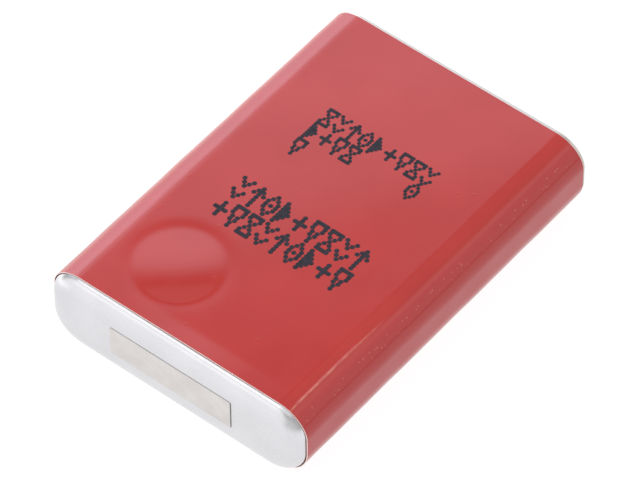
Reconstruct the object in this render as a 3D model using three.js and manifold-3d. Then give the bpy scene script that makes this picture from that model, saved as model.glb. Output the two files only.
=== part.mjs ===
// Prismatic lithium-ion cell: a drawn aluminium can closed by a welded lid with a riveted
// terminal, a flat-wound electrode roll inside it, and a red heat-shrink sleeve round it.
//
// Millimetres. The cell lies on one large face. X is its width, Y runs from the can's closed
// end (-Y) to the terminal end (+Y), and Z is its thickness. The origin is on the surface that
// the cell lies on, under the centre of its bounding box.

import * as THREE from "three";
import { mergeVertices } from "three/addons/utils/BufferGeometryUtils.js";
import Module from "manifold-3d";

const wasm = await Module();
wasm.setup();

// ---------------------------------------------------------------- driving dimensions

const CELL_WIDTH = 33.8; // over the sleeve
const CELL_THICKNESS = 10.3; // over the sleeve
const CELL_LENGTH = 49.0; // over the clad plate and the terminal
const CORNER_RADIUS = 4.2; // of the sleeve's section

const SLEEVE_WALL = 0.1;
const SLEEVE_FROM_CLOSED_END = 1.6; // bare can at the closed end
const SLEEVE_FROM_MOUTH = 0.27; // bare can at the lid end

const CAN_WALL = 0.4;
const CAN_FLOOR = 0.5;
const CAN_EDGE_RADIUS = 1.8; // drawn edge round the closed end
const LID_THICKNESS = 1.0;
const WELD_STEP = 0.05; // the can's mouth stands this far proud of the lid

const FIT_GAP = 0.02; // between a piece and the seat that holds it
const PACKING_GAP = 0.005; // between the wound layers

const TERMINAL_HEAD = { width: 6.4, height: 3.2, corner: 0.5, proud: 0.6 };
const TERMINAL_SHANK_RADIUS = 0.92;
const TERMINAL_FLARE = { radius: 1.6, thickness: 0.26 }; // the rivet's spread inner end
const GASKET = { margin: 0.5, recess: 0.35, collarWall: 0.48 }; // its rim, seat and collar

const VENT = { x: -11, width: 4.4, height: 2.8, ledge: 0.5, membrane: 0.12, recess: 0.08 };
const FILL_HOLE = { x: 11.6, radius: 0.6, sinkRadius: 1.15, sinkDepth: 0.35 };
const FILL_PLUG = { tip: 0.2, dome: 0.1 }; // how far it reaches below and above the lid

const CLAD_PLATE = { width: 16.1, height: 4.1, corner: 0.2, thickness: 0.1, raise: 0.4 };

// Plates between the lid and the roll, and under the roll.
const STACK_GAP = 0.04; // between the plates under the lid
const INNER_INSULATOR = { left: -9.6, right: 4.6, halfHeight: 3.2, thickness: 0.4 };
const INNER_PLATE = { left: -8.6, right: 3.4, halfHeight: 2.2, thickness: 0.3 };
const INNER_PLATE_CORNER = 0.5;
const TOP_SPACER = { width: 32.2, height: 8.6, corner: 3.3, thickness: 0.5, gap: 0.3 };
const SPACER_TAB_SLOT = { width: 5, height: 1.4, corner: 0.3, raise: 0.2 };
const SPACER_OPENING = { width: 4.2, height: 3 }; // lets gas out and the electrolyte in
const BOTTOM_INSULATOR = { width: 30.2, height: 6.8, corner: 2.6, thickness: 0.25 };
const BOTTOM_GAPS = { below: 0.05, above: 0.2 };

const ROLL_TURNS = 10;
const ROLL_HALF_WIDTH = 16.15; // from the roll's centre to its rounded side
const ROLL_CORE_GAP = 0.4; // the slot that the winding blade leaves
const POSITIVE_THICKNESS = 0.18;
const NEGATIVE_THICKNESS = 0.16;
const SEPARATOR_THICKNESS = 0.03;
const SEPARATOR_HEIGHT = 44; // along Y
const ELECTRODE_STEP = 0.5; // each electrode is this much shorter at either end than what covers it
const BEND_STEP = 180 / 7; // degrees of bend for each facet of the roll

// Each tab starts inside the roll, rises out of it and folds over onto what it is welded to.
const TAB_WIDTH = 4;
const TAB_THICKNESS = 0.1;
const NEGATIVE_TAB = { x: -5.5, inset: 6, fold: 0.17, rise: 1.2, landing: 3 };
const POSITIVE_TAB = { x: 8, inset: 9, fold: 0.3, rise: 3, landing: 2.6 };

const TAPE_THICKNESS = 0.05;
const ROLL_TAPE = { left: -12, right: -0.5, endMargin: 7 };
const NEGATIVE_TAB_TAPE = { overlap: 0.4, height: 4 };
const POSITIVE_TAB_TAPE = { overlap: 0.8, height: 7 };

const CORNER_SEGMENTS = 4; // three.js doubles this for each quarter arc
const EDGE_STEPS = 5; // facets across a drawn edge
const TURNED_SIDES = 24;
const FOLD_STEP = 30; // degrees of bend for each facet of a tab

// ---------------------------------------------------------------- places along Y

const closedEnd = -CELL_LENGTH / 2 + CLAD_PLATE.thickness + FIT_GAP / 2;
const terminalTop = CELL_LENGTH / 2;
const lidTop = terminalTop - TERMINAL_HEAD.proud;
const lidUnderside = lidTop - LID_THICKNESS;
const canMouth = lidTop + WELD_STEP;
const canFloor = closedEnd + CAN_FLOOR;

const upFrom = (low, thickness) => ({ low, high: low + thickness });
const downFrom = (high, thickness) => ({ low: high - thickness, high });

const bottomInsulator = upFrom(canFloor + BOTTOM_GAPS.below, BOTTOM_INSULATOR.thickness);
const rollLow = bottomInsulator.high + BOTTOM_GAPS.above;
const rollHigh = rollLow + SEPARATOR_HEIGHT;
const topSpacer = upFrom(rollHigh + TOP_SPACER.gap, TOP_SPACER.thickness);
const innerInsulator = downFrom(lidUnderside - STACK_GAP, INNER_INSULATOR.thickness);
const innerPlate = downFrom(innerInsulator.low - STACK_GAP, INNER_PLATE.thickness);
const flare = downFrom(innerPlate.low - FIT_GAP, TERMINAL_FLARE.thickness);

// ---------------------------------------------------------------- materials

const finish = (color, roughness, metalness) =>
  new THREE.MeshStandardMaterial({ color, roughness, metalness });

const materials = {
  redFilm: finish(0xb8322e, 0.3, 0),
  aluminium: finish(0xd9dadd, 0.4, 0.9),
  lidAluminium: finish(0xcfd1d4, 0.35, 0.9),
  nickel: finish(0xc3bfb6, 0.35, 1),
  gasketPlastic: finish(0x24262a, 0.5, 0),
  clearPlastic: finish(0xe6e7e2, 0.55, 0),
  separatorFilm: finish(0xf2f2ee, 0.6, 0),
  graphite: finish(0x2b2c2e, 0.85, 0),
  oxideCoating: finish(0x17181b, 0.8, 0),
  tabAluminium: finish(0xd4d6d8, 0.4, 0.9),
  tabNickel: finish(0xbab6ad, 0.4, 1),
  tape: finish(0xc9a24a, 0.35, 0),
};

// ---------------------------------------------------------------- shape helpers

const AXIS_X = new THREE.Vector3(1, 0, 0);
const AXIS_Y = new THREE.Vector3(0, 1, 0);
const AXIS_Z = new THREE.Vector3(0, 0, 1);
// A section drawn in X and Z, extruded towards -Y.
const ALONG_Y = new THREE.Matrix4().makeBasis(AXIS_X, AXIS_Z, AXIS_Y.clone().negate());
// A profile drawn in Y and Z, extruded towards +X.
const ALONG_X = new THREE.Matrix4().makeBasis(AXIS_Y, AXIS_Z, AXIS_X);

// A rectangle with round corners, centred on (x, z).
function roundedRect(width, height, radius, x = 0, z = 0) {
  const right = width / 2 - radius;
  const top = height / 2 - radius;
  const quarter = Math.PI / 2;
  return new THREE.Shape()
    .absarc(x + right, z + top, radius, 0, quarter, false)
    .absarc(x - right, z + top, radius, quarter, 2 * quarter, false)
    .absarc(x - right, z - top, radius, 2 * quarter, 3 * quarter, false)
    .absarc(x + right, z - top, radius, 3 * quarter, 4 * quarter, false);
}

// A slot with round ends, longer along X. A hair of flat is left between its two end arcs.
const SLOT_FLAT = 0.002;
const slot = (width, height, x = 0) => roundedRect(width, height, (height - SLOT_FLAT) / 2, x);

// The section of the cell at a distance inside the sleeve's outer surface.
const cellSection = (inset) =>
  roundedRect(CELL_WIDTH - 2 * inset, CELL_THICKNESS - 2 * inset, CORNER_RADIUS - inset);

// A section in X and Z, extruded from y = low to y = high.
function slab(section, low, high, options = {}) {
  const depth = high - low;
  return new THREE.ExtrudeGeometry(section, {
    depth,
    bevelEnabled: false,
    curveSegments: CORNER_SEGMENTS,
    ...options,
  })
    .applyMatrix4(ALONG_Y)
    .translate(0, high, 0);
}

// A profile in Y and Z, extruded from x = low to x = high.
function bar(profile, low, high) {
  return new THREE.ExtrudeGeometry(profile, { depth: high - low, bevelEnabled: false })
    .applyMatrix4(ALONG_X)
    .translate(low, 0, 0);
}

// A solid of revolution about a line along Y. The profile is a list of [radius, y].
function turned(profile, x = 0) {
  const points = profile.map(([radius, y]) => new THREE.Vector2(radius, y));
  return new THREE.LatheGeometry(points, TURNED_SIDES).translate(x, 0, 0);
}

const drill = (radius, low, high, x = 0) =>
  turned([[0, low], [radius, low], [radius, high], [0, high]], x);

// A plain block between two corners.
function block(low, high) {
  const box = new THREE.Box3(new THREE.Vector3(...low), new THREE.Vector3(...high));
  const size = box.getSize(new THREE.Vector3());
  const centre = box.getCenter(new THREE.Vector3());
  return new THREE.BoxGeometry(...size).translate(...centre);
}

// The outline of a strip that sets off along the first axis from a starting point, and follows
// straight runs and round bends. Each move is [length of the run, degrees of the bend after it,
// radius of the bend's middle].
function stripOutline(start, thickness, moves, bendStep) {
  const left = [];
  const right = [];
  const at = start.clone();
  let heading = 0;
  const normal = () => new THREE.Vector2(-Math.sin(heading), Math.cos(heading));
  const mark = () => {
    left.push(at.clone().addScaledVector(normal(), thickness / 2));
    right.push(at.clone().addScaledVector(normal(), -thickness / 2));
  };
  mark();
  for (const [run, bend = 0, radius = 0] of moves) {
    if (run > 0) {
      at.add(new THREE.Vector2(Math.cos(heading), Math.sin(heading)).multiplyScalar(run));
      mark();
    }
    if (bend === 0) continue;
    const side = Math.sign(bend);
    const centre = at.clone().addScaledVector(normal(), side * radius);
    const steps = Math.round(Math.abs(bend) / bendStep);
    for (let i = 0; i < steps; i++) {
      heading += THREE.MathUtils.degToRad(bend) / steps;
      at.copy(centre).addScaledVector(normal(), -side * radius);
      mark();
    }
  }
  return new THREE.Shape([...left, ...right.reverse()]);
}

// ---------------------------------------------------------------- cuts and joins

function toSolid(geometry) {
  const bare = geometry.clone();
  bare.deleteAttribute("normal");
  bare.deleteAttribute("uv");
  const merged = mergeVertices(bare, 1e-4);
  return new wasm.Manifold(
    new wasm.Mesh({
      numProp: 3,
      vertProperties: new Float32Array(merged.attributes.position.array),
      triVerts: new Uint32Array(merged.index.array),
    }),
  );
}

function toGeometry(solid) {
  const mesh = solid.getMesh();
  return new THREE.BufferGeometry()
    .setAttribute("position", new THREE.BufferAttribute(mesh.vertProperties, 3))
    .setIndex(new THREE.BufferAttribute(mesh.triVerts, 1));
}

const cut = (body, ...tools) =>
  toGeometry(tools.reduce((left, tool) => left.subtract(toSolid(tool)), toSolid(body)));

const join = (...pieces) =>
  toGeometry(pieces.map(toSolid).reduce((whole, piece) => whole.add(piece)));

// ---------------------------------------------------------------- the assembly

const root = new THREE.Group();
const cell = new THREE.Group(); // its axis is the cell's own, at mid thickness
cell.position.z = CELL_THICKNESS / 2;
root.add(cell);

function addNode(name, geometry, material, parent = cell) {
  const mesh = new THREE.Mesh(geometry, material);
  mesh.name = name;
  parent.add(mesh);
  return mesh;
}

// ---- sleeve

const canInset = SLEEVE_WALL + FIT_GAP;
const cavityInset = canInset + CAN_WALL;

const sleeveSection = cellSection(0);
sleeveSection.holes.push(cellSection(SLEEVE_WALL));
addNode(
  "shrink_sleeve",
  slab(sleeveSection, closedEnd + SLEEVE_FROM_CLOSED_END, canMouth - SLEEVE_FROM_MOUTH),
  materials.redFilm,
);

// ---- can: a block with round edges, its top sliced off at the mouth, and the cavity cut out

function roundEnded(inset, low, high, radius) {
  return slab(cellSection(inset), low + radius, high, {
    bevelEnabled: true,
    bevelThickness: radius,
    bevelSize: radius,
    bevelOffset: -radius,
    bevelSegments: EDGE_STEPS,
  });
}

const beyond = CAN_EDGE_RADIUS + 1; // how far the round-ended blocks run past the mouth
const mouthSlice = block(
  [-CELL_WIDTH, canMouth, -CELL_THICKNESS],
  [CELL_WIDTH, canMouth + 2 * beyond, CELL_THICKNESS],
);
addNode(
  "can",
  cut(
    roundEnded(canInset, closedEnd, canMouth + beyond, CAN_EDGE_RADIUS),
    roundEnded(cavityInset, canFloor, canMouth + beyond, CAN_EDGE_RADIUS - CAN_WALL),
    mouthSlice,
  ),
  materials.aluminium,
);

addNode(
  "bottom_clad_plate",
  slab(
    roundedRect(CLAD_PLATE.width, CLAD_PLATE.height, CLAD_PLATE.corner, 0, CLAD_PLATE.raise),
    -CELL_LENGTH / 2,
    -CELL_LENGTH / 2 + CLAD_PLATE.thickness,
  ),
  materials.nickel,
);

// ---- lid and what it carries

const past = 0.5; // how far a cutting tool runs past the face that it opens
const shankHole = TERMINAL_SHANK_RADIUS + FIT_GAP;
const collarRadius = shankHole + GASKET.collarWall;
const gasketFloor = lidTop - GASKET.recess;
const headSeat = lidTop - FIT_GAP;
const rimTop = lidTop + TERMINAL_HEAD.proud / 2; // of the gasket, half way up the terminal's head
const membraneTop = lidUnderside + VENT.recess + VENT.membrane;

// The terminal's head, made larger all round by a margin.
const headSection = (margin, corner = TERMINAL_HEAD.corner) =>
  roundedRect(TERMINAL_HEAD.width + 2 * margin, TERMINAL_HEAD.height + 2 * margin, corner);

// The vent's opening, made larger all round by a margin.
const ventSection = (margin) => slot(VENT.width + 2 * margin, VENT.height + 2 * margin, VENT.x);

const gasketCorner = TERMINAL_HEAD.corner + GASKET.margin / 2;

addNode(
  "lid_plate",
  cut(
    slab(cellSection(cavityInset + FIT_GAP), lidUnderside, lidTop),
    slab(headSection(GASKET.margin, gasketCorner), gasketFloor, lidTop + past),
    drill(collarRadius + FIT_GAP, lidUnderside - past, lidTop),
    slab(ventSection(0), lidUnderside - past, lidTop + past),
    slab(ventSection(VENT.ledge), lidUnderside - past, membraneTop + FIT_GAP),
    drill(FILL_HOLE.radius, lidUnderside - past, lidTop + past, FILL_HOLE.x),
    drill(FILL_HOLE.sinkRadius, lidTop - FILL_HOLE.sinkDepth, lidTop + past, FILL_HOLE.x),
  ),
  materials.lidAluminium,
);

addNode(
  "vent_membrane",
  slab(ventSection(VENT.ledge - FIT_GAP), membraneTop - VENT.membrane, membraneTop),
  materials.lidAluminium,
);

function plugGeometry() {
  const stem = FILL_HOLE.radius - 2 * FIT_GAP;
  const head = FILL_HOLE.sinkRadius - 2 * FIT_GAP;
  const seat = lidTop - FILL_HOLE.sinkDepth + FIT_GAP;
  const profile = [
    [0, lidUnderside - FILL_PLUG.tip],
    [stem, lidUnderside],
    [stem, seat],
    [head, seat],
    [head, lidTop - FILL_PLUG.dome],
    [head / 2, lidTop + FILL_PLUG.dome / 2],
    [0, lidTop + FILL_PLUG.dome],
  ];
  return turned(profile, FILL_HOLE.x);
}
addNode("fill_plug", plugGeometry(), materials.lidAluminium);

addNode(
  "outer_gasket",
  cut(
    join(
      slab(headSection(GASKET.margin - FIT_GAP, gasketCorner), gasketFloor + FIT_GAP, rimTop),
      drill(collarRadius, lidUnderside, lidTop - GASKET.recess / 2),
    ),
    slab(headSection(FIT_GAP, TERMINAL_HEAD.corner + FIT_GAP), headSeat - FIT_GAP, terminalTop),
    drill(shankHole, lidUnderside - past, lidTop),
  ),
  materials.gasketPlastic,
);

addNode(
  "negative_terminal",
  join(
    slab(headSection(0), headSeat, terminalTop),
    turned([
      [0, flare.low],
      [(TERMINAL_FLARE.radius + TERMINAL_SHANK_RADIUS) / 2, flare.low],
      [TERMINAL_FLARE.radius, flare.high],
      [TERMINAL_SHANK_RADIUS, flare.high],
      [TERMINAL_SHANK_RADIUS, rimTop],
      [0, rimTop],
    ]),
  ),
  materials.nickel,
);

// A plate under the lid with a hole for the terminal's shank.
function rivetedPlate({ left, right, halfHeight }, { low, high }) {
  const section = roundedRect(right - left, 2 * halfHeight, INNER_PLATE_CORNER, (left + right) / 2);
  return cut(slab(section, low, high), drill(shankHole, low - past, high + past));
}

addNode("inner_insulator", rivetedPlate(INNER_INSULATOR, innerInsulator), materials.clearPlastic);
addNode("inner_terminal_plate", rivetedPlate(INNER_PLATE, innerPlate), materials.tabNickel);

// ---- insulating plates above and below the roll

function topSpacerSection() {
  const { width, height, corner, raise } = SPACER_TAB_SLOT;
  const section = roundedRect(TOP_SPACER.width, TOP_SPACER.height, TOP_SPACER.corner);
  section.holes.push(roundedRect(width, height, corner, NEGATIVE_TAB.x, raise));
  for (const x of [VENT.x, FILL_HOLE.x]) {
    section.holes.push(slot(SPACER_OPENING.width, SPACER_OPENING.height, x));
  }
  return section;
}
addNode("top_spacer", slab(topSpacerSection(), topSpacer.low, topSpacer.high), materials.clearPlastic);

addNode(
  "bottom_insulator",
  slab(
    roundedRect(BOTTOM_INSULATOR.width, BOTTOM_INSULATOR.height, BOTTOM_INSULATOR.corner),
    bottomInsulator.low,
    bottomInsulator.high,
  ),
  materials.clearPlastic,
);

// ---- the wound roll: four layers, one inside the next, wound together

// A layer starts at startX beside the core gap and ends at endX, on the underside.
const rollLayers = [
  {
    name: "separator_inner",
    thickness: SEPARATOR_THICKNESS,
    shorter: 0,
    startX: -2.6,
    endX: 2,
    material: materials.separatorFilm,
  },
  {
    name: "negative_electrode",
    thickness: NEGATIVE_THICKNESS,
    shorter: ELECTRODE_STEP,
    startX: -10,
    endX: 4,
    material: materials.graphite,
  },
  {
    name: "separator_outer",
    thickness: SEPARATOR_THICKNESS,
    shorter: 0,
    startX: -11,
    endX: 0,
    material: materials.separatorFilm,
  },
  {
    name: "positive_electrode",
    thickness: POSITIVE_THICKNESS,
    shorter: 2 * ELECTRODE_STEP,
    startX: -8,
    endX: -6,
    material: materials.oxideCoating,
  },
];
const pitch = rollLayers.reduce((sum, layer) => sum + layer.thickness + PACKING_GAP, 0);
const firstRadius = ROLL_CORE_GAP / 2;
const lastRadius = firstRadius + (ROLL_TURNS - 1) * pitch;
const rollRadius = lastRadius + pitch - PACKING_GAP; // half the roll's thickness
const rollStraight = ROLL_HALF_WIDTH - rollRadius; // half the length of its flat runs

// The bends are half circles about two lines, which lie half a pitch apart, so that each
// half turn is half a pitch wider than the last and all layers stay parallel.
function woundOutline(offset, { thickness, startX, endX }) {
  const middle = offset + thickness / 2;
  const start = new THREE.Vector2(startX, firstRadius + middle);
  const moves = [[rollStraight - startX, -180, firstRadius + middle]];
  const halfTurns = 2 * (ROLL_TURNS - 1);
  for (let half = 1; half <= halfTurns; half++) {
    moves.push([2 * rollStraight, -180, firstRadius + middle + (half * pitch) / 2]);
  }
  moves.push([rollStraight - endX]);
  return stripOutline(start, thickness, moves, BEND_STEP);
}

let layerOffset = 0;
for (const layer of rollLayers) {
  addNode(
    layer.name,
    slab(woundOutline(layerOffset, layer), rollLow + layer.shorter, rollHigh - layer.shorter),
    layer.material,
  );
  layerOffset += layer.thickness + PACKING_GAP;
}

// The tape that holds the roll's outer end, on the underside.
const rollTapeTop = -rollRadius - 2 * PACKING_GAP;
addNode(
  "roll_end_tape",
  block(
    [ROLL_TAPE.left, rollLow + ROLL_TAPE.endMargin, rollTapeTop - TAPE_THICKNESS],
    [ROLL_TAPE.right, rollHigh - ROLL_TAPE.endMargin, rollTapeTop],
  ),
  materials.tape,
);

// ---- tabs: from the electrodes to the terminal plate and to the lid

// A tab that runs up the roll at height z, bends aside (turn is 1 towards +Z, -1 towards -Z),
// folds back on itself, and lies flat with its upper face at y = top.
function foldedTab({ x, inset, fold, rise, landing }, z, turn, top) {
  const low = rollLow + inset;
  const bendStart = top - TAB_THICKNESS / 2 - 3 * fold;
  const moves = [
    [bendStart - low, turn * 90, fold],
    [rise, turn * -180, fold],
    [landing],
  ];
  const profile = stripOutline(new THREE.Vector2(low, z), TAB_THICKNESS, moves, FOLD_STEP);
  return bar(profile, x - TAB_WIDTH / 2, x + TAB_WIDTH / 2);
}

// A piece of tape over a tab's root.
function tabTape({ x }, { overlap, height }, topY, lowZ) {
  const reach = TAB_WIDTH / 2 + overlap;
  return block([x - reach, topY - height, lowZ], [x + reach, topY, lowZ + TAPE_THICKNESS]);
}

const negativeTabZ = firstRadius + SEPARATOR_THICKNESS - TAB_THICKNESS / 2; // in the core gap
const negativeTapeZ = negativeTabZ - TAB_THICKNESS - TAPE_THICKNESS;
addNode(
  "negative_tab",
  foldedTab(NEGATIVE_TAB, negativeTabZ, 1, innerPlate.low - FIT_GAP),
  materials.tabNickel,
);
addNode(
  "negative_tab_tape",
  tabTape(NEGATIVE_TAB, NEGATIVE_TAB_TAPE, rollHigh, negativeTapeZ),
  materials.tape,
);

const positiveTabZ = rollRadius + PACKING_GAP + TAB_THICKNESS / 2; // on the roll's outside
const positiveTapeZ = positiveTabZ + TAB_THICKNESS / 2 + PACKING_GAP;
addNode(
  "positive_tab",
  foldedTab(POSITIVE_TAB, positiveTabZ, -1, lidUnderside - FIT_GAP),
  materials.tabAluminium,
);
addNode(
  "positive_tab_tape",
  tabTape(POSITIVE_TAB, POSITIVE_TAB_TAPE, rollHigh, positiveTapeZ),
  materials.tape,
);

export default root;
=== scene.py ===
"""Looks for a prismatic lithium-ion cell: a drawn aluminium can in a red heat-shrink sleeve.

Lengths in this script are millimetres, turned into Blender's metres where they are used. X is the
cell's width, Y runs from the can's closed end (-Y) to the terminal end (+Y), and Z is up.
"""

import math

import bmesh
import bpy
import numpy as np
from mathutils import Matrix, Vector, geometry


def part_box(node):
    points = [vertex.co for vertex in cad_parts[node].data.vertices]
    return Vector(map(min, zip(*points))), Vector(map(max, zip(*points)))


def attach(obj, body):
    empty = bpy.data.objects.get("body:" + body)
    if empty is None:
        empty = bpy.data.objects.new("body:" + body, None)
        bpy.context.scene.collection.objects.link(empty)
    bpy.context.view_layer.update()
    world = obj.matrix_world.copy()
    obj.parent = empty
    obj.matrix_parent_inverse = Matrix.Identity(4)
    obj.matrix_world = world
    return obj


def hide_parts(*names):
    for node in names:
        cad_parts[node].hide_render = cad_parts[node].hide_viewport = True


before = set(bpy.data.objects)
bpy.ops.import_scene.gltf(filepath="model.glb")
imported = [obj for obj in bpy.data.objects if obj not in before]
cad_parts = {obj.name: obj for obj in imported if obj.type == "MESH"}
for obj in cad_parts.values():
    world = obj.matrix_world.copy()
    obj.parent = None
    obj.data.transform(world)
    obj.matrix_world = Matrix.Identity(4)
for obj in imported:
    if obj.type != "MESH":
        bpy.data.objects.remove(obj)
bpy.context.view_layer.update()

MM = 0.001


def box_mm(node):
    low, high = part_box(node)
    return low / MM, high / MM


# ---------------------------------------------------------------- driving dimensions

sleeve_low, sleeve_high = box_mm("shrink_sleeve")
can_low, can_high = box_mm("can")

UPPER_CORNER = (3.7, 3.4)  # radii of the sleeve's section along X and Z
LOWER_CORNER = (4.5, 4.5)
SLEEVE_WALL = 0.1
CAN_WALL = 0.4
CAN_FLOOR = 0.5
SWELL = 0.1  # the middle of each broad face stands this far proud of its long edges
SWELL_MARGIN = 2  # the swelling begins this far in from the sides
SWELL_POWERS = {"across": 1.5, "along": 1.2}  # higher ones draw it towards the middle

centre_z = (sleeve_low.z + sleeve_high.z) / 2
half_width = sleeve_high.x
half_height = centre_z - sleeve_low.z
can_inset = half_width - can_high.x
middle_y = (can_low.y + can_high.y) / 2
half_length = (can_high.y - can_low.y) / 2


# ---------------------------------------------------------------- mesh helpers

MERGE_DISTANCE = 0.0005


def mesh(name, points, faces, materials, smooth_angle=40):
    """A mesh object from points in millimetres, smooth except at edges past an angle."""
    data = bpy.data.meshes.new(name)
    data.from_pydata((np.asarray(points, float) * MM).tolist(), [], faces)
    for material in materials:
        data.materials.append(material)
    data.shade_smooth()
    data.set_sharp_from_angle(angle=math.radians(smooth_angle))
    data.validate()
    piece = bpy.data.objects.new(name, data)
    bpy.context.scene.collection.objects.link(piece)
    return piece


def clean(piece):
    """Merges points that coincide and turns all faces outwards."""
    work = bmesh.new()
    work.from_mesh(piece.data)
    bmesh.ops.remove_doubles(work, verts=work.verts, dist=MERGE_DISTANCE * MM)
    bmesh.ops.dissolve_degenerate(work, edges=work.edges, dist=MERGE_DISTANCE * MM)
    bmesh.ops.recalc_face_normals(work, faces=work.faces)
    work.to_mesh(piece.data)
    work.free()
    return piece


def loft(name, rings, materials, joined=False, smooth_angle=40):
    """A skin through rings of equally many points. A joined one closes on its first ring."""
    count = len(rings[0])
    points = np.concatenate(rings)
    pairs = [(i, i + 1) for i in range(len(rings) - 1)]
    if joined:
        pairs.append((len(rings) - 1, 0))
    faces = []
    for near, far in pairs:
        for i in range(count):
            j = (i + 1) % count
            faces.append((near * count + i, near * count + j, far * count + j, far * count + i))
    return clean(mesh(name, points, faces, materials, smooth_angle))


def place(piece, slot, *nodes):
    """Makes a piece part of the cell: puts it on its body and hides the CAD nodes it stands for."""
    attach(piece, "root")
    if nodes:
        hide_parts(*nodes)
    return piece


def smooth_step(low, high, value):
    t = np.clip((value - low) / (high - low), 0, 1)
    return t * t * (3 - 2 * t)


# ---------------------------------------------------------------- the cell's section

def section(inset, flat_step, arc_steps):
    """Stations round the rounded outline, as arrays of x, z and the outward normal's x and z.

    arc_steps has the length of the steps round each corner, from the upper right one on.
    """
    upper = np.array(UPPER_CORNER)
    lower = np.array(LOWER_CORNER)
    size = np.array((half_width, half_height))
    corners = []
    for side_x, side_z, radii in ((1, 1, upper), (-1, 1, upper), (-1, -1, lower), (1, -1, lower)):
        corners.append(((size - radii) * (side_x, side_z), radii - inset))
    stations = []
    for quarter, (centre, radii) in enumerate(corners):
        start = math.pi / 2 * quarter
        arc_count = math.ceil(radii.mean() * math.pi / 2 / arc_steps[quarter])
        for angle in start + math.pi / 2 * np.arange(arc_count) / arc_count:
            turn = np.array((math.cos(angle), math.sin(angle)))
            normal = turn / radii
            stations.append((*(centre + radii * turn), *(normal / np.linalg.norm(normal))))
        next_centre, next_radii = corners[(quarter + 1) % 4]
        turn = np.array((math.cos(start + math.pi / 2), math.sin(start + math.pi / 2)))
        begin, end = centre + radii * turn, next_centre + next_radii * turn
        flat_count = math.ceil(np.linalg.norm(end - begin) / flat_step)
        for t in np.arange(flat_count) / flat_count:
            stations.append((*(begin + (end - begin) * t), *turn))
    return np.array(stations).T


def swell(x, y, nz):
    """How far a broad face of the can lies below its highest point, which is its middle."""
    across = np.clip(1 - (x / (half_width - SWELL_MARGIN)) ** 2, 0, 1) ** SWELL_POWERS["across"]
    along = np.clip(1 - ((y - middle_y) / half_length) ** 2, 0, 1) ** SWELL_POWERS["along"]
    return -SWELL * (1 - across * along) * np.abs(nz)


# ---------------------------------------------------------------- the sleeve

FILM_SHIFT = 0.12  # from its CAD place, towards the closed end
film_low_y = sleeve_low.y - FILM_SHIFT
film_high_y = sleeve_high.y - FILM_SHIFT

BLISTER = {"x": -6.27, "y": sleeve_low.y + 7.56, "radius": 5.3}
# In degrees: the slope that the dome would reach at its radius if it didn't level off before, and
# the steepest slope of the moat's outer side.
BLISTER_SLOPES = {"dome": 4.6, "moat": 1.3}
# It leans: in the direction towards, counted from -Y, the dome is steeper by dome degrees at its
# radius and the moat gentler by the share moat. On the opposite side it is the other way round.
BLISTER_LEAN = {"towards": 39.3, "dome": 2.8, "moat": 0.4}
# In radii of the blister: where the dome begins to level off, and where the moat's outer side
# begins, is steepest and ends.
BLISTER_EDGES = {"dome": 0.86, "moat_start": 0.95, "moat_steepest": 1.03, "moat_end": 1.35}
PROFILE_STEPS = 300
CREASE = {
    "x": half_width - 2.25,
    "from_y": sleeve_low.y - 0.31,
    "to_y": sleeve_low.y + 16.29,
    "fade_in": 1.5,
    "fade_out": 8,
    "half_width": 0.15,
    "height": 0.1,
}
# Where the upper face of the film stands off the can at its end.
GAPE = {"x": 2.0, "half_width": 8.0, "length": 2.0, "height": 0.06}
FLECK_ROW = {
    "x": half_width - 0.95,
    "half_width": 0.42,
    "spacing": 0.42,
    "radius": 0.13,
    "missing": 0.55,
    "strength": 0.4,
}
RIPPLE_HEIGHTS = {"broad": 0.006, "narrow": 0.012}


def blister_profile():
    """Radii, and the heights of a dome of unit edge slope and of its moat at each of them."""
    radius = BLISTER["radius"]
    levels_off, moat_start, steepest, moat_end = (part * radius for part in BLISTER_EDGES.values())
    radii = np.linspace(0, moat_end, PROFILE_STEPS)
    dome_slope = radii / radius * (1 - smooth_step(levels_off, radius, radii))
    moat_slope = smooth_step(moat_start, steepest, radii)
    moat_slope *= 1 - smooth_step(steepest, moat_end, radii)
    step = radii[1] - radii[0]
    dome = np.cumsum(dome_slope[::-1])[::-1] * step
    moat = np.cumsum(moat_slope[::-1])[::-1] * step
    return radii, dome, moat


BLISTER_RADII, DOME_HEIGHTS, MOAT_DEPTHS = blister_profile()


def blister(x, y):
    """A round mark in the film: a low, leaning dome with a shallow moat round it."""
    east, north = x - BLISTER["x"], y - BLISTER["y"]
    distance = np.hypot(east, north)
    towards = math.radians(BLISTER_LEAN["towards"])
    lean = (east * math.sin(towards) - north * math.cos(towards)) / BLISTER["radius"]
    dome_slope = math.radians(BLISTER_SLOPES["dome"]) + math.radians(BLISTER_LEAN["dome"]) * lean
    moat_slope = math.radians(BLISTER_SLOPES["moat"]) * (1 - BLISTER_LEAN["moat"] * lean)
    dome = dome_slope * np.interp(distance, BLISTER_RADII, DOME_HEIGHTS)
    return dome - moat_slope * np.interp(distance, BLISTER_RADII, MOAT_DEPTHS)


def crease(x, y, nz):
    """The fine folds that lay-flat tubing keeps, along two opposite corners of the section."""
    side = np.where(nz > 0, x, -x)
    across = np.exp(-(((side - CREASE["x"]) / CREASE["half_width"]) ** 2))
    along = smooth_step(CREASE["from_y"], CREASE["from_y"] + CREASE["fade_in"], y)
    along = along * (1 - smooth_step(CREASE["to_y"] - CREASE["fade_out"], CREASE["to_y"], y))
    return CREASE["height"] * across * along


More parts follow.
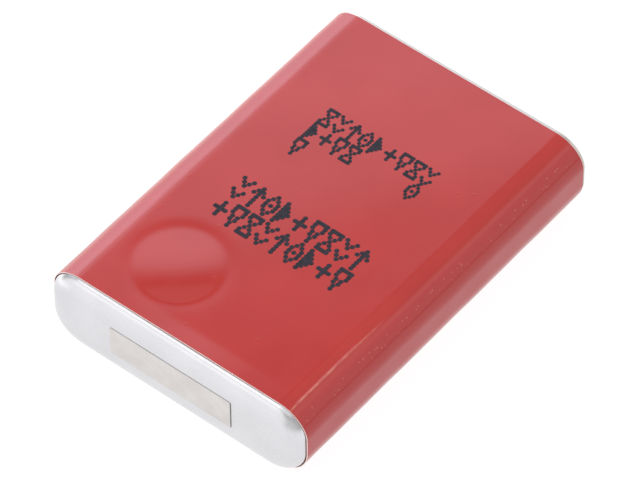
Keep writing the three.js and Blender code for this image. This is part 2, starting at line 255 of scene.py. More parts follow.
def film_ripple(x, y, z):
    """The long, shallow waves of unevenly shrunk film, on the broad faces and the narrow ones."""
    # Each wave turns by so many radians per mm along two directions, and starts at its own phase.
    waves = np.sin(0.31 * x + 0.17 * y + 1.0) + 0.7 * np.sin(0.23 * y - 0.4 * x + 2.2)
    side_waves = np.sin(0.55 * y + 0.9 * z) + 0.6 * np.sin(1.1 * y - 0.5 * z + 0.8)
    return RIPPLE_HEIGHTS["broad"] * waves, RIPPLE_HEIGHTS["narrow"] * side_waves


def gape(x, y):
    """How far the upper face of the film stands off the can at the closed end."""
    along = np.clip(1 - (y - film_low_y) / GAPE["length"], 0, 1)
    return GAPE["height"] * along * np.exp(-(((x - GAPE["x"]) / GAPE["half_width"]) ** 2))


def sleeve_ring(stations, y, inset, detail=True):
    """A ring of the film, inset from its outer surface; detail adds the marks on that surface."""
    x, z, nx, nz = stations
    top = np.clip(nz, 0, 1)
    lift = swell(x, y, nz) + gape(x, y) * top
    if detail:
        broad, narrow = film_ripple(x, y, z)
        lift = lift + (blister(x, y) * top + crease(x, y, nz) + broad * top + narrow * np.abs(nx))
    offset = lift - inset
    return np.column_stack((x + nx * offset, np.full_like(x, y), z + nz * offset + centre_z))


def build_sleeve(material, edge_material):
    """The film: an outer skin, a plain inner one, and a cut edge of its own material at each end."""
    row_step = 0.35
    inner_row_count = 18
    stations = section(0, flat_step=0.4, arc_steps=(0.05, 0.12, 0.05, 0.2))
    rows = np.linspace(film_low_y, film_high_y, round((film_high_y - film_low_y) / row_step))
    round_over = 0.03  # of the film's cut edge
    rings = [sleeve_ring(stations, film_low_y, round_over)]
    rings.append(sleeve_ring(stations, film_low_y + round_over, 0))
    rings += [sleeve_ring(stations, y, 0) for y in rows[1:-1]]
    rings.append(sleeve_ring(stations, film_high_y - round_over, 0))
    rings.append(sleeve_ring(stations, film_high_y, round_over))
    inner_rows = np.linspace(film_high_y, film_low_y + GAPE["length"], inner_row_count)
    inner_rows = np.append(inner_rows, film_low_y)
    rings += [sleeve_ring(stations, y, SLEEVE_WALL, detail=False) for y in inner_rows]
    sleeve = loft("sleeve_film", rings, [material, edge_material], joined=True)
    for face in sleeve.data.polygons:
        face.material_index = int(abs(face.normal.y) > 0.5)
    return sleeve


# ---------------------------------------------------------------- the can

# The closed end below a broad side: a tight shoulder that turns by shoulder_turn, then a slow
# crown. Below a narrow side it is one round edge.
BROAD_EDGE = {"shoulder": 1.2, "crown": 3.5, "shoulder_turn": 50}
NARROW_EDGE = 2.1
INNER_EDGE = 1.4  # radius round the floor inside, where the can is plain, to clear what it holds
CAN_LIP = 0.05  # the can's mouth is bevelled by this much
WALL_FROM_END = 3  # the straight wall's first ring is this far from the closed end


def can_ring(stations, y, extra, swollen=True):
    """A ring of the can's wall; extra is how far each point lies inside the outer surface."""
    x, z, nx, nz = stations
    offset = swell(x, y, nz) * swollen - extra
    return np.column_stack((x + nx * offset, np.full_like(x, y), z + nz * offset + centre_z))


def round_edge(angle, radius):
    """How far in from the wall, and back from the end, a round edge is; angle 0 is the end."""
    return radius * (1 - math.sin(angle)), radius * (1 - math.cos(angle))


def crowned_edge(angle):
    """The same two distances for the can's broad edge outside: a crown, then the shoulder."""
    shoulder, crown = BROAD_EDGE["shoulder"], BROAD_EDGE["crown"]
    change = math.radians(90 - BROAD_EDGE["shoulder_turn"])
    crown_turn = min(angle, change)
    inwards = crown * (math.sin(change) - math.sin(crown_turn))
    back = crown * (1 - math.cos(crown_turn))
    shoulder_turn = max(angle, change)
    inwards += shoulder * (1 - math.sin(shoulder_turn))
    back += shoulder * (math.cos(change) - math.cos(shoulder_turn))
    return inwards, back


def drawn_end(stations, y, inset, broad_edge, narrow_radius, swollen=True):
    """Rings of a closed end at y: from a line at its middle, out over the flat and the edge."""
    x, z, nx, nz = stations
    edge_steps = 24
    steps_to_rim = (0, 0.3, 0.6, 0.85)
    edge = []
    for step in range(edge_steps + 1):
        angle = math.pi / 2 * step / edge_steps
        broad_in, broad_back = broad_edge(angle)
        narrow_in, narrow_back = round_edge(angle, narrow_radius)
        ring = can_ring(stations, y, inset + broad_in * nz**2 + narrow_in * nx**2, swollen)
        ring[:, 1] = y + broad_back * nz**2 + narrow_back * nx**2
        edge.append(ring)
    rim = edge[0]
    spine = rim.copy()
    spine[:, 0] = np.clip(rim[:, 0], -half_width + half_height, half_width - half_height)
    spine[:, 2] = centre_z
    return [spine + (rim - spine) * t for t in steps_to_rim] + edge


def build_can(material):
    """The drawn can: its end and wall outside, the bevelled mouth, and its plain inside."""
    stations = section(can_inset, flat_step=0.8, arc_steps=(0.2,) * 4)
    outer = drawn_end(stations, can_low.y, 0, crowned_edge, NARROW_EDGE)
    wall_start, wall_end = can_low.y + WALL_FROM_END, can_high.y - CAN_LIP
    outer_rows, inner_rows = 24, 12
    wall = [can_ring(stations, y, 0) for y in np.linspace(wall_start, wall_end, outer_rows)]
    mouth = [
        can_ring(stations, can_high.y, CAN_LIP),
        can_ring(stations, can_high.y, CAN_WALL - CAN_LIP, swollen=False),
    ]
    places = np.linspace(wall_end, wall_start, inner_rows)
    inside = [can_ring(stations, y, CAN_WALL, swollen=False) for y in places]
    inner = drawn_end(
        stations,
        can_low.y + CAN_FLOOR,
        CAN_WALL,
        lambda angle: round_edge(angle, INNER_EDGE),
        INNER_EDGE,
        swollen=False,
    )
    return loft("can_shell", outer + wall + mouth + inside + inner[::-1], [material])


# ---------------------------------------------------------------- node helpers for materials

class Shader:
    """A Principled material with short calls for the texture nodes that this script uses."""

    def __init__(self, name, roughness=0.5, metallic=0.0):
        self.material = bpy.data.materials.new(name)
        self.material.use_nodes = True
        self.tree = self.material.node_tree
        self.surface = self.tree.nodes["Principled BSDF"]
        self.surface.inputs["Roughness"].default_value = roughness
        self.surface.inputs["Metallic"].default_value = metallic
        self.position = self.tree.nodes.new("ShaderNodeTexCoord").outputs["Object"]

    def node(self, kind, inputs=None, **settings):
        made = self.tree.nodes.new("ShaderNode" + kind)
        for key, value in settings.items():
            setattr(made, key, value)
        for key, value in (inputs or {}).items():
            if isinstance(value, bpy.types.NodeSocket):
                self.tree.links.new(value, made.inputs[key])
            else:
                made.inputs[key].default_value = value
        return made

    def stretched(self, per_mm):
        """The position in units of a texture whose cells are 1 / per_mm long along X, Y and Z."""
        scale = [value / MM for value in per_mm]
        return self.node("Mapping", {"Vector": self.position, "Scale": scale}).outputs[0]

    def noise(self, size_mm, detail=3.0, roughness=0.5, stretch=(1, 1, 1)):
        vector = self.stretched([1 / (size_mm * s) for s in stretch])
        inputs = {"Vector": vector, "Scale": 1.0, "Detail": detail, "Roughness": roughness}
        return self.node("TexNoise", inputs).outputs["Fac"]

    def ramp(self, value, low, high, out_low=0.0, out_high=1.0):
        inputs = {0: value, 1: low, 2: high, 3: out_low, 4: out_high}
        return self.node("MapRange", inputs).outputs[0]

    def math(self, operation, a, b=0.0):
        return self.node("Math", {0: a, 1: b}, operation=operation).outputs[0]

    def mix(self, factor, a, b):
        return self.node("MixRGB", {"Fac": factor, "Color1": a, "Color2": b}).outputs[0]

    def split(self, vector):
        return self.node("SeparateXYZ", {"Vector": vector}).outputs

    def flecks(self, spacing_mm, radius_mm, missing):
        """Small round spots, one in each cell of a Voronoi pattern but for a share left out."""
        vector = self.stretched([1 / spacing_mm] * 3)
        cells = self.node("TexVoronoi", {"Vector": vector, "Scale": 1.0})
        spot = self.ramp(cells.outputs["Distance"], radius_mm / spacing_mm, 0.0)
        chosen = self.math("GREATER_THAN", self.split(cells.outputs["Color"])[0], missing)
        return self.math("MULTIPLY", spot, chosen)

    def set(self, name, value):
        if isinstance(value, bpy.types.NodeSocket):
            self.tree.links.new(value, self.surface.inputs[name])
        else:
            self.surface.inputs[name].default_value = value

    def bump(self, height, distance_mm, strength=1.0, below=None):
        inputs = {"Height": height, "Distance": distance_mm * MM, "Strength": strength}
        if below is not None:
            inputs["Normal"] = below
        out = self.node("Bump", inputs).outputs[0]
        self.set("Normal", out)
        return out


def rgba(red, green, blue):
    return (red, green, blue, 1.0)


# ---------------------------------------------------------------- materials

def red_film():
    shader = Shader("red_film", roughness=0.1)
    across, along, _ = shader.split(shader.position)
    cloud = shader.noise(9, detail=2)
    tint = shader.mix(shader.ramp(cloud, 0.35, 0.65), rgba(0.5, 0.022, 0.016), rgba(0.54, 0.027, 0.02))
    # Painted shade: towards the narrow sides the film is given a darker, deeper tint.
    side_shade_start, side_shade_full = half_width - 2.5, half_width - 0.2
    side = shader.ramp(shader.math("ABSOLUTE", across), side_shade_start * MM, side_shade_full * MM)
    tint = shader.mix(side, tint, rgba(0.435, 0.02, 0.021))
    # Painted highlight: a paler, patchy tint along the crease, fading out towards its far end.
    off_crease = shader.math("ABSOLUTE", shader.math("SUBTRACT", across, CREASE["x"] * MM))
    crease_highlight = shader.ramp(off_crease, 0.13 * MM, 0.03 * MM)
    highlight_full_y = CREASE["to_y"] - 9
    fading = shader.ramp(along, CREASE["to_y"] * MM, highlight_full_y * MM)
    patchy = shader.ramp(shader.noise(0.9, detail=3), 0.35, 0.6, 0.35, 1.0)
    crease_highlight = shader.math("MULTIPLY", shader.math("MULTIPLY", crease_highlight, fading), patchy)
    tint = shader.mix(crease_highlight, tint, rgba(0.7, 0.2, 0.15))
    # A row of fine pale flecks runs along the outermost line of the side.
    off_row = shader.math("ABSOLUTE", shader.math("SUBTRACT", across, FLECK_ROW["x"] * MM))
    in_row = shader.ramp(off_row, FLECK_ROW["half_width"] * MM, FLECK_ROW["half_width"] / 2 * MM)
    row_flecks = shader.flecks(FLECK_ROW["spacing"], FLECK_ROW["radius"], FLECK_ROW["missing"])
    flecked = shader.math("MULTIPLY", row_flecks, shader.math("MULTIPLY", in_row, FLECK_ROW["strength"]))
    tint = shader.mix(flecked, tint, rgba(0.8, 0.4, 0.36))
    shader.set("Base Color", tint)
    haze = shader.noise(3.0, detail=4, stretch=(1, 3, 1))
    shader.set("Roughness", shader.ramp(haze, 0.3, 0.7, 0.07, 0.13))
    shader.set("IOR", 1.55)
    peel = shader.bump(shader.noise(0.7, detail=2), 0.0008)
    shader.bump(shader.flecks(2.1, 0.25, 0.5), 0.006, below=peel)
    return shader.material


def film_edge():
    shader = Shader("film_cut_edge_highlight", roughness=0.5)
    # Painted highlight: the pale cream colour of the cut edge stands in for the light that it catches.
    patch = shader.noise(0.5, detail=3)
    shader.set("Base Color", shader.mix(patch, rgba(0.9, 0.66, 0.6), rgba(0.98, 0.88, 0.84)))
    return shader.material


def drawn_aluminium():
    shader = Shader("drawn_aluminium", roughness=0.3, metallic=1.0)
    cloud = shader.noise(5, detail=3)
    tone = shader.mix(shader.ramp(cloud, 0.35, 0.65), rgba(0.69, 0.685, 0.71), rgba(0.73, 0.72, 0.745))
    # The weld's heat has dulled the rim at the lid end.
    _, along, _ = shader.split(shader.position)
    heated = shader.ramp(along, (can_high.y - 0.7) * MM, (can_high.y - 0.35) * MM)
    shader.set("Base Color", shader.mix(heated, tone, rgba(0.56, 0.495, 0.455)))
    lines = shader.noise(0.12, detail=3, stretch=(1, 30, 1))
    shader.set("Roughness", shader.ramp(lines, 0.3, 0.7, 0.26, 0.33))
    shader.bump(lines, 0.00025)
    return shader.material


def metal(name, dark, light, roughness, grain_mm, stretch, cloud_mm=3.0):
    """Worked metal: a faint clouding of its tone, and fine lines or grain in its gloss."""
    shader = Shader(name, roughness=roughness, metallic=1.0)
    cloud = shader.ramp(shader.noise(cloud_mm, detail=3), 0.35, 0.65)
    shader.set("Base Color", shader.mix(cloud, rgba(*dark), rgba(*light)))
    grain = shader.noise(grain_mm, detail=3, stretch=stretch)
    shader.set("Roughness", shader.ramp(grain, 0.3, 0.7, roughness - 0.05, roughness + 0.06))
    shader.bump(grain, 0.001)
    return shader.material


def plastic(name, dark, light, roughness, grain_mm, depth_mm, clear=0.0):
    """Moulded or drawn plastic, with a fine texture; clear lets light through."""
    shader = Shader(name, roughness=roughness)
    shader.set("Transmission Weight", clear)
    cloud = shader.ramp(shader.noise(4, detail=2), 0.35, 0.65)
    shader.set("Base Color", shader.mix(cloud, rgba(*dark), rgba(*light)))
    grain = shader.noise(grain_mm, detail=3)
    shader.set("Roughness", shader.ramp(grain, 0.3, 0.7, roughness - 0.04, roughness + 0.06))
    shader.bump(grain, depth_mm)
    return shader.material


def coating(name, binder, grains):
    """An electrode's coating: matt, with the sparkle of its particles and calender streaks."""
    shader = Shader(name, roughness=0.7)
    particles = shader.ramp(shader.noise(0.05, detail=2), 0.55, 0.7)
    shader.set("Base Color", shader.mix(particles, rgba(*binder), rgba(*grains)))
    streaks = shader.noise(0.6, detail=2, stretch=(12, 1, 1))
    shader.set("Roughness", shader.ramp(streaks, 0.3, 0.7, 0.6, 0.8))
    shader.bump(particles, 0.002)
    return shader.material


def clad_nickel():
    shader = Shader("clad_nickel", roughness=0.42, metallic=1.0)
    cloud = shader.noise(1.6, detail=4)
    tone = shader.mix(shader.ramp(cloud, 0.35, 0.65), rgba(0.67, 0.635, 0.615), rgba(0.72, 0.69, 0.675))
    shader.set("Base Color", tone)
    grain = shader.noise(0.08, detail=2, stretch=(20, 1, 1))
    shader.set("Roughness", shader.ramp(grain, 0.3, 0.7, 0.38, 0.5))
    shader.bump(grain, 0.001)
    return shader.material


def cut_edge():
    shader = Shader("clad_cut_edge_shade", roughness=0.6, metallic=0.6)
    # Painted shade: the dark tone of the cut edges stands in for the line of shade along the plate's
    # edges.
    speckle = shader.noise(0.1, detail=2)
    shader.set("Base Color", shader.mix(speckle, rgba(0.26, 0.25, 0.245), rgba(0.4, 0.39, 0.38)))
    return shader.material


def printed_ink():
    shader = Shader("printed_ink", roughness=0.6)
    shader.set("IOR", 1.3)
    patch = shader.noise(0.35, detail=3)
    tone = shader.mix(shader.ramp(patch, 0.3, 0.7), rgba(0.018, 0.018, 0.026), rgba(0.04, 0.03, 0.04))
    shader.set("Base Color", tone)
    return shader.material


# ---------------------------------------------------------------- the clad plate

def build_clad_plate(face_material, edge_material):
    """The strip: its ends are sheared square, and its long edges were rounded off by rolling."""
    low, high = box_mm("bottom_clad_plate")
    bevel = 0.03
    rolled = 0.17
    rounded_at_bevel = 0.6 * rolled  # how far in the rounding is where the bevel begins
    foot = 0.02  # height of the square foot below the rounding
    corner = 0.2
    corner_steps = 6
    work = bmesh.new()
    outline = []
    for x, z, start in (
        (high.x - corner, high.z - corner, 0),
        (low.x + corner, high.z - corner, 90),
        (low.x + corner, low.z + corner, 180),
        (high.x - corner, low.z + corner, 270),
    ):
        for step in range(corner_steps + 1):
            angle = math.radians(start + 90 * step / corner_steps)
            outline.append((x, z, math.cos(angle), math.sin(angle)))
    rings = []
    levels = (
        (high.y, 0, 0),
        (high.y - foot, 0, 0),
        (low.y + bevel, 0, rounded_at_bevel),
        (low.y, bevel, rolled),
    )
    for y, end_inset, long_inset in levels:
        rings.append([work.verts.new((x + (corner - end_inset) * c, y, z + (corner - long_inset) * s))
                      for x, z, c, s in outline])
    count = len(outline)
    for near, far in zip(rings, rings[1:]):
        for i in range(count):
            work.faces.new((near[i], near[(i + 1) % count], far[(i + 1) % count], far[i]))
    work.faces.new(rings[0])
    work.faces.new(rings[-1][::-1])
    bmesh.ops.recalc_face_normals(work, faces=work.faces)
    # Faces towards the ends, and those that stand upright on the can, are the cut metal; their dark tone
    # is painted shade.
    for face in work.faces:
        face.material_index = int(abs(face.normal.x) > 0.5 or abs(face.normal.y) < 0.3)
    points = [v.co.copy() for v in work.verts]
    work.verts.index_update()
    faces = [tuple(v.index for v in f.verts) for f in work.faces]
    kinds = [f.material_index for f in work.faces]
    work.free()
    plate = mesh("clad_strip", points, faces, [face_material, edge_material], smooth_angle=30)
    plate.data.polygons.foreach_set("material_index", kinds)
    return plate


# ---------------------------------------------------------------- the lid end

# ripple is the pitch of the weld's pools, and bow how far each lags behind at the bead's edges, in
# radians. The bead's edges lie sunk below the can's mouth, and its underside lies foot below it
# and has the share foot_width of the bead's width.
WELD_BEAD = {
    "width": 0.6,
    "height": 0.1,
    "ripple": 0.3,
    "ripple_depth": 0.25,
    "bow": 2.2,
    "sunk": 0.03,
    "foot": 0.08,
    "foot_width": 0.9,
}
VENT_SCORE = {"inset": 0.85, "half_width": 0.07, "depth": 0.05, "crown": 0.06}
PLUG_HEAD = {"radius": 1.1, "thickness": 0.32}
PLUG_SHANK = {"radius": 0.58, "lead_in": 0.15, "lead_in_height": 0.2}
PLUG_BEAD = {"half_width": 0.12, "height": 0.05}
# A shallow dish inside a raised edge, in the middle of the plug's head.
PLUG_MARK = {"radius": 0.35, "edge_width": 0.1, "edge_height": 0.02, "tip_radius": 0.15}
PLUG_MARK_DEPTHS = {"edge": 0.01, "tip": 0.06, "middle": 0.065}
LATHE_SIDES = 48


def refined(node, name, material, bevel):
    """A copy of a CAD node's shape, its flat faces merged and its sharp edges rounded."""
    merge_distance = 0.001
    flat_angle, sharp_angle = math.radians(0.5), math.radians(50)
    work = bmesh.new()
    work.from_mesh(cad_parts[node].data)
    bmesh.ops.remove_doubles(work, verts=work.verts, dist=merge_distance * MM)
    bmesh.ops.dissolve_limit(work, angle_limit=flat_angle, verts=work.verts, edges=work.edges)
    sharp = [e for e in work.edges if e.is_manifold and e.calc_face_angle() > sharp_angle]
    bmesh.ops.bevel(
        work,
        geom=sharp,
        offset=bevel * MM,
        segments=3,
        profile=0.5,
        affect="EDGES",
        clamp_overlap=True,
    )
    data = bpy.data.meshes.new(name)
    work.to_mesh(data)
    work.free()
    data.materials.append(material)
    data.shade_smooth()
    data.set_sharp_from_angle(angle=math.radians(32))
    piece = bpy.data.objects.new(name, data)
    bpy.context.scene.collection.objects.link(piece)
    return piece


def build_weld_seam(material):
    """The laser weld between the can's mouth and the lid: a low bead of overlapping pools."""
    step, rows_across = 0.07, 11
    stations = section(can_inset + CAN_WALL, flat_step=step, arc_steps=(step,) * 4)
    x, z, nx, nz = stations
    steps = np.hypot(np.diff(x, append=x[0]), np.diff(z, append=z[0]))
    distance = np.cumsum(steps)
    waves = round(distance[-1] / WELD_BEAD["ripple"])
    half = WELD_BEAD["width"] / 2
    rings = []
    for across in np.linspace(-1, 1, rows_across):
        phase = math.tau * waves * distance / distance[-1] + WELD_BEAD["bow"] * across**2
        pool = 1 - WELD_BEAD["ripple_depth"] * (0.5 + 0.5 * np.cos(phase)) ** 2
        rise = WELD_BEAD["height"] * (1 - across**2) * pool
        ring = can_ring(stations, can_high.y, -half * across)
        ring[:, 1] = can_high.y - WELD_BEAD["sunk"] + rise
        rings.append(ring)
    for across in (WELD_BEAD["foot_width"], -WELD_BEAD["foot_width"]):
        ring = can_ring(stations, can_high.y, -half * across)
        ring[:, 1] = can_high.y - WELD_BEAD["foot"]
        rings.append(ring)
    return loft("weld_seam", rings, [material], joined=True)


def slot_ring(low, high, inset, y):
    """A ring of a slot with round ends, inset from the box that low and high span in X and Z."""
    radius = (high.z - low.z) / 2
    middle_z = (low.z + high.z) / 2
    points_per_end = 20
    half_turn = np.linspace(-math.pi / 2, math.pi / 2, points_per_end)
    points = []
    for centre_x, start in ((high.x - radius, 0), (low.x + radius, math.pi)):
        for angle in half_turn + start:
            reach = radius - inset
            points.append((centre_x + reach * math.cos(angle), y, middle_z + reach * math.sin(angle)))
    return np.array(points)


def build_vent_membrane(material):
    """The thin burst plate: a crowned middle inside a scored line."""
    low, high = box_mm("vent_membrane")
    radius = (high.z - low.z) / 2
    score = VENT_SCORE["inset"]
    half = VENT_SCORE["half_width"]
    on_flat = 0.3
    crown_rings = 8
    rings = [slot_ring(low, high, radius, low.y), slot_ring(low, high, 0, low.y)]
    rings += [slot_ring(low, high, inset, high.y) for inset in (0, on_flat, score - half)]
    rings.append(slot_ring(low, high, score, high.y - VENT_SCORE["depth"]))
    for t in np.linspace(0, 1, crown_rings):
        inset = score + half + (radius - score - half) * t
        rings.append(slot_ring(low, high, inset, high.y + VENT_SCORE["crown"] * math.sin(math.pi / 2 * t)))
    return loft("vent_burst_plate", rings, [material], smooth_angle=30)


def lathe(name, node, profile, material):
    """Turns a profile of radii and Y places about the axis through the middle of a CAD node."""
    low, high = box_mm(node)
    turn = np.linspace(0, math.tau, LATHE_SIDES, endpoint=False)
    rings = []
    for radius, y in profile:
        x = (low.x + high.x) / 2 + radius * np.cos(turn)
        z = (low.z + high.z) / 2 + radius * np.sin(turn)
        rings.append(np.column_stack((x, np.full_like(x, y), z)))
    return loft(name, rings, [material], smooth_angle=30)


def build_fill_plug(material):
    """The plug of the filling hole: a shank, a head with a weld bead round it, and a centre mark."""
    low, high = box_mm("fill_plug")
    head, shank, mark = PLUG_HEAD["radius"], PLUG_SHANK["radius"], PLUG_MARK["radius"]
    bead, half_bead = PLUG_BEAD["height"], PLUG_BEAD["half_width"]
    bead_steps = 8
    top = high.y - bead
    underside = top - PLUG_HEAD["thickness"]
    profile = [
        (0, low.y),
        (shank - PLUG_SHANK["lead_in"], low.y),
        (shank, low.y + PLUG_SHANK["lead_in_height"]),
        (shank, underside),
        (head, underside),
        (head, top),
    ]
    for angle in np.linspace(0, math.pi, bead_steps + 1)[1:-1]:
        profile.append((head - half_bead + half_bead * math.cos(angle), top + bead * math.sin(angle)))
    profile += [
        (head - 2 * half_bead, top),
        (mark + PLUG_MARK["edge_width"], top + PLUG_MARK["edge_height"]),
        (mark, top - PLUG_MARK_DEPTHS["edge"]),
        (PLUG_MARK["tip_radius"], top - PLUG_MARK_DEPTHS["tip"]),
        (0, top - PLUG_MARK_DEPTHS["middle"]),
    ]
    return lathe("fill_plug_turned", "fill_plug", profile, material)


# ---------------------------------------------------------------- the printed marks

SYMBOLS = [
    ("#####", "#...#", ".#.#.", "..#..", ".#.#.", "#...#", "#####"),
    (".....", "..#..", "..#..", "#####", "..#..", "..#..", "....."),
    ("..#..", ".#.#.", "#...#", "#.#.#", "#...#", ".#.#.", "..#.."),
    ("#...#", ".#.#.", "..#..", ".....", "#...#", ".#.#.", "..#.."),
    ("#####", "#...#", "#...#", ".#.#.", ".#.#.", "..#..", "..#.."),
    ("#....", "##...", "###..", "####.", "###..", "##...", "#...."),
    ("..#..", ".###.", "#.#.#", "..#..", "..#..", "..#..", "..#.."),
]
SMALL_PRINT = {"pitch": 1.67, "across": 0.275, "along": 0.375, "radius": 0.235}
LARGE_PRINT = {"pitch": 1.97, "across": 0.32, "along": 0.465, "radius": 0.285}
# Each run: its print, the x of its left side, the y of its feet, its first symbol and its length.
PRINTED_RUNS = [
    (SMALL_PRINT, -7.65, 8.8, 0, 9),
    (SMALL_PRINT, -7.65, 6.25, 5, 4),
    (SMALL_PRINT, 5.55, 6.25, 2, 1),
    (SMALL_PRINT, -7.75, 3.6, 4, 1),
    (LARGE_PRINT, -8.8, -4.8, 3, 9),
    (LARGE_PRINT, -8.8, -8.25, 1, 9),
]
DOT_SIDES = 10
INK_THICKNESS = 0.012


def top_surface(x, y):
    """Height of the film's upper face."""
    broad, _ = film_ripple(x, y, half_height)
    return centre_z + half_height + swell(x, y, 1.0) + blister(x, y) + broad


def ink_dots():
    """The x, y and radius of every dot of ink."""
    for size, left, foot, first, length in PRINTED_RUNS:
        for place_in_run in range(length):
            symbol = SYMBOLS[(first + 3 * place_in_run) % len(SYMBOLS)]
            start = left + place_in_run * size["pitch"] + size["radius"]
            for row, dots in enumerate(reversed(symbol)):
                y = foot + size["radius"] + row * size["along"]
                for column, dot in enumerate(dots):
                    if dot == "#":
                        yield start + column * size["across"], y, size["radius"]


def build_marks(material):
    """Overlapping ink dots, merged into one thin film of ink that follows the sleeve."""
    corners = []
    discs = []
    for x, y, radius in ink_dots():
        discs.append(list(range(len(corners), len(corners) + DOT_SIDES)))
        for side in range(DOT_SIDES):
            angle = math.tau * side / DOT_SIDES
            corners.append(Vector((x + radius * math.cos(angle), y + radius * math.sin(angle))))
    flat, _, triangles, *_ = geometry.delaunay_2d_cdt(corners, [], discs, 1, 1e-4)
    flat = np.array([tuple(point) for point in flat])
    x, y = flat.T
    surface = top_surface(x, y)
    upper = np.column_stack((x, y, surface + INK_THICKNESS))
    lower = np.column_stack((x, y, surface - INK_THICKNESS))
    count = len(flat)
    faces = [tuple(t) for t in triangles] + [tuple(i + count for i in reversed(t)) for t in triangles]
    edges = {(t[i], t[(i + 1) % 3]) for t in triangles for i in range(3)}
    faces += [(b, a, a + count, b + count) for a, b in edges if (b, a) not in edges]
    return clean(mesh("printed_marks", np.concatenate((upper, lower)), faces, [material]))


# ---------------------------------------------------------------- studio

CAMERA = {"azimuth": 39.3, "elevation": 49.83, "roll": -0.65, "distance": 590.3, "lens": 316.5}
CAMERA_OFFSET = {"right": 0.232, "up": -0.092}
# The floor gives off low light up to start in the direction azimuth, and high light from end on.
FLOOR_GLOW = {"azimuth": -120, "start": 15, "end": 35, "low": 0.95, "high": 1.5}
FLOOR_HALF_WIDTH = 900


def direction(azimuth, elevation):
    """From the cell towards a point of the studio. Azimuth 0 is in front, at -Y."""
    a, e = math.radians(azimuth), math.radians(elevation)
    return Vector((math.sin(a) * math.cos(e), -math.cos(a) * math.cos(e), math.sin(e)))


def add_camera():
    back = direction(CAMERA["azimuth"], CAMERA["elevation"])
    turn = (-back).to_track_quat("-Z", "Y").to_matrix()
    turn = turn @ Matrix.Rotation(math.radians(CAMERA["roll"]), 3, "Z")
    right, up = turn.col[0], turn.col[1]
    target = Vector((0, middle_y, centre_z))
    place_mm = target + back * CAMERA["distance"]
    place_mm += right * CAMERA_OFFSET["right"] + up * CAMERA_OFFSET["up"]
    data = bpy.data.cameras.new("camera")
    data.lens = CAMERA["lens"]
    data.sensor_width = 36
    data.clip_start = 10 * MM
    camera = bpy.data.objects.new("camera", data)
    camera.matrix_world = turn.to_4x4()
    camera.location = place_mm * MM
    bpy.context.scene.collection.objects.link(camera)
    bpy.context.scene.camera = camera


def add_softbox(name, azimuth, elevation, distance, width, height, power):
    data = bpy.data.lights.new(name, "AREA")
    data.shape = "RECTANGLE"
    data.size = width * MM
    data.size_y = height * MM
    data.energy = power
    light = bpy.data.objects.new(name, data)
    towards = direction(azimuth, elevation)
    light.location = towards * distance * MM
    light.rotation_euler = towards.to_track_quat("Z", "Y").to_euler()
    bpy.context.scene.collection.objects.link(light)


def add_floor():
    """A plain white floor that gives off light, a little more of it behind on the left."""
    half = FLOOR_HALF_WIDTH
    corners = [(-half, -half, 0), (half, -half, 0), (half, half, 0), (-half, half, 0)]
    shader = Shader("floor_white", roughness=0.8)
    shader.set("Base Color", rgba(0.08, 0.08, 0.08))
    shader.set("Emission Color", rgba(1, 1, 1))
    back_left = tuple(direction(FLOOR_GLOW["azimuth"], 0))
    product = shader.node("VectorMath", {0: shader.position, 1: back_left}, operation="DOT_PRODUCT")
    outwards = product.outputs["Value"]
    start, end = FLOOR_GLOW["start"] * MM, FLOOR_GLOW["end"] * MM
    glow = shader.ramp(outwards, start, end, FLOOR_GLOW["low"], FLOOR_GLOW["high"])
    shader.set("Emission Strength", glow)
    floor = mesh("floor", corners, [(0, 1, 2, 3)], [shader.material])


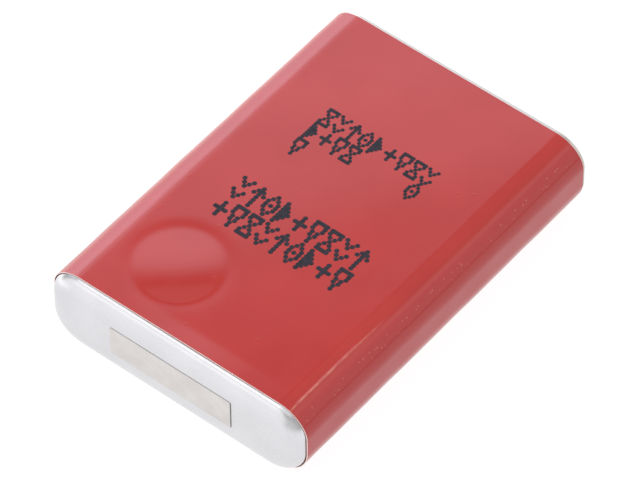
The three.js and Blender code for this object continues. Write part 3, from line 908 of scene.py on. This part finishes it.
def add_world():
    """A white tent: a dim ceiling, soft panels low down, and daylight from behind on the left."""
    world = bpy.data.worlds.new("studio")
    world.use_nodes = True
    tree = world.node_tree
    towards = tree.nodes.new("ShaderNodeTexCoord").outputs["Generated"]

    def add(kind, *inputs, **settings):
        made = tree.nodes.new("ShaderNode" + kind)
        for key, value in settings.items():
            setattr(made, key, value)
        for index, value in enumerate(inputs):
            if isinstance(value, bpy.types.NodeSocket):
                tree.links.new(value, made.inputs[index])
            else:
                made.inputs[index].default_value = value
        return made.outputs["Value"] if kind == "VectorMath" else made.outputs[0]

    def between(value, low, high, out_low, out_high):
        return add("MapRange", value, low, high, out_low, out_high, interpolation_type="SMOOTHSTEP")

    def rise(elevation):
        return math.sin(math.radians(elevation))

    def along(azimuth, elevation):
        return add("VectorMath", towards, tuple(direction(azimuth, elevation)), operation="DOT_PRODUCT")

    def both(*factors):
        product = factors[0]
        for factor in factors[1:]:
            product = add("Math", product, factor, operation="MULTIPLY")
        return product

    def near(azimuth, elevation, full, gone, inside, outside=0.0):
        """inside within full degrees of a direction, and outside from gone degrees on."""
        edges = math.cos(math.radians(gone)), math.cos(math.radians(full))
        return between(along(azimuth, elevation), *edges, outside, inside)

    def glow(colour, *parts):
        total = parts[0]
        for part in parts[1:]:
            total = add("Math", total, part)
        return add("Background", colour, total)

    height = along(0, 90)
    ceiling = between(height, rise(54.5), rise(56.5), 0.48, 0.95)
    ceiling = near(165, 58, full=18, gone=30, inside=0.8, outside=ceiling)
    ceiling = near(-95, 66, full=9, gone=17, inside=0.45, outside=ceiling)
    front = near(-33, 22, full=30, gone=44, inside=0.65)
    front = both(front, between(height, rise(50), rise(62), 1, 0))
    highlight = near(-31, 38, full=7, gone=15, inside=0.3)
    far_right = near(124, 28, full=20, gone=32, inside=0.64)
    far_right = both(far_right, between(height, 0, rise(12), 0.7, 1))
    right = near(35, 10, full=18, gone=38, inside=0.22)
    window = near(-135, 36, full=24, gone=38, inside=1.5)
    window = both(window, between(height, rise(46), rise(53.5), 1, 0))
    window = both(window, between(height, rise(10), rise(34), 0.3, 1))
    beside_strip = add("Math", along(-122 + 90, 0), operation="ABSOLUTE")
    strip = both(between(beside_strip, 0.12, 0.24, 1.35, 0), between(along(-122, 0), 0.3, 0.6, 0, 1))
    strip = both(strip, between(height, rise(34), rise(42), 1, 0))
    white = glow(rgba(1, 1, 1), ceiling, front, highlight, far_right, right)
    daylight = glow(rgba(0.86, 1.0, 1.18), window, strip)
    both_kinds = add("AddShader", white, daylight)
    tree.links.new(both_kinds, tree.nodes["World Output"].inputs["Surface"])
    bpy.context.scene.world = world


# ---------------------------------------------------------------- build

add_camera()
bpy.context.scene.view_settings.view_transform = "Standard"

place(build_sleeve(red_film(), film_edge()), "red_film", "shrink_sleeve")
place(build_can(drawn_aluminium()), "drawn_aluminium", "can")
place(build_clad_plate(clad_nickel(), cut_edge()), "clad_nickel", "bottom_clad_plate")
place(build_marks(printed_ink()), "red_film")

stamped = metal(
    "lid_aluminium", dark=(0.47, 0.47, 0.485), light=(0.55, 0.55, 0.565),
    roughness=0.34, grain_mm=0.1, stretch=(25, 1, 1),
)
welded = metal(
    "weld_aluminium", dark=(0.46, 0.455, 0.46), light=(0.64, 0.64, 0.65),
    roughness=0.28, grain_mm=0.08, stretch=(1, 1, 1), cloud_mm=0.6,
)
burst_plate = metal(
    "vent_aluminium", dark=(0.52, 0.52, 0.53), light=(0.62, 0.62, 0.63),
    roughness=0.4, grain_mm=0.07, stretch=(1, 1, 20),
)
plated = metal(
    "terminal_nickel", dark=(0.62, 0.59, 0.55), light=(0.7, 0.67, 0.63),
    roughness=0.26, grain_mm=0.09, stretch=(1, 1, 18), cloud_mm=1.5,
)
nickel_strip = metal(
    "tab_nickel", dark=(0.58, 0.56, 0.52), light=(0.66, 0.64, 0.6),
    roughness=0.34, grain_mm=0.08, stretch=(1, 18, 1),
)
aluminium_strip = metal(
    "tab_aluminium", dark=(0.72, 0.72, 0.73), light=(0.8, 0.8, 0.81),
    roughness=0.36, grain_mm=0.08, stretch=(1, 18, 1),
)
black_plastic = plastic(
    "gasket_plastic", dark=(0.014, 0.015, 0.017), light=(0.024, 0.025, 0.028),
    roughness=0.45, grain_mm=0.12, depth_mm=0.003,
)
milky_plastic = plastic(
    "clear_plastic", dark=(0.72, 0.73, 0.69), light=(0.8, 0.81, 0.77),
    roughness=0.42, grain_mm=0.3, depth_mm=0.002, clear=0.25,
)
white_film = plastic(
    "separator_film", dark=(0.82, 0.82, 0.8), light=(0.88, 0.88, 0.86),
    roughness=0.6, grain_mm=0.06, depth_mm=0.001,
)
amber_tape = plastic(
    "amber_tape", dark=(0.5, 0.25, 0.035), light=(0.62, 0.34, 0.06),
    roughness=0.22, grain_mm=0.9, depth_mm=0.002, clear=0.3,
)
graphite = coating("graphite_coating", (0.024, 0.025, 0.027), (0.09, 0.092, 0.098))
oxide = coating("oxide_coating", (0.011, 0.012, 0.013), (0.04, 0.042, 0.046))

place(refined("lid_plate", "lid_panel", stamped, 0.06), "lid_aluminium", "lid_plate")
place(build_weld_seam(welded), "lid_aluminium")
place(build_vent_membrane(burst_plate), "lid_aluminium", "vent_membrane")
place(build_fill_plug(stamped), "lid_aluminium", "fill_plug")
place(refined("outer_gasket", "terminal_gasket", black_plastic, 0.08), "gasket_plastic", "outer_gasket")
place(refined("negative_terminal", "terminal_rivet", plated, 0.12), "terminal_nickel", "negative_terminal")

CARRIED_OVER = {
    "inner_insulator": black_plastic,
    "inner_terminal_plate": nickel_strip,
    "top_spacer": milky_plastic,
    "bottom_insulator": milky_plastic,
    "separator_inner": white_film,
    "separator_outer": white_film,
    "negative_electrode": graphite,
    "positive_electrode": oxide,
    "roll_end_tape": amber_tape,
    "negative_tab": nickel_strip,
    "negative_tab_tape": amber_tape,
    "positive_tab": aluminium_strip,
    "positive_tab_tape": amber_tape,
}
for node, material in CARRIED_OVER.items():
    for material_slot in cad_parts[node].material_slots:
        material_slot.material = material

add_floor()
add_world()
add_softbox("overhead", azimuth=-60, elevation=68, distance=1000, width=300, height=300, power=0.5)
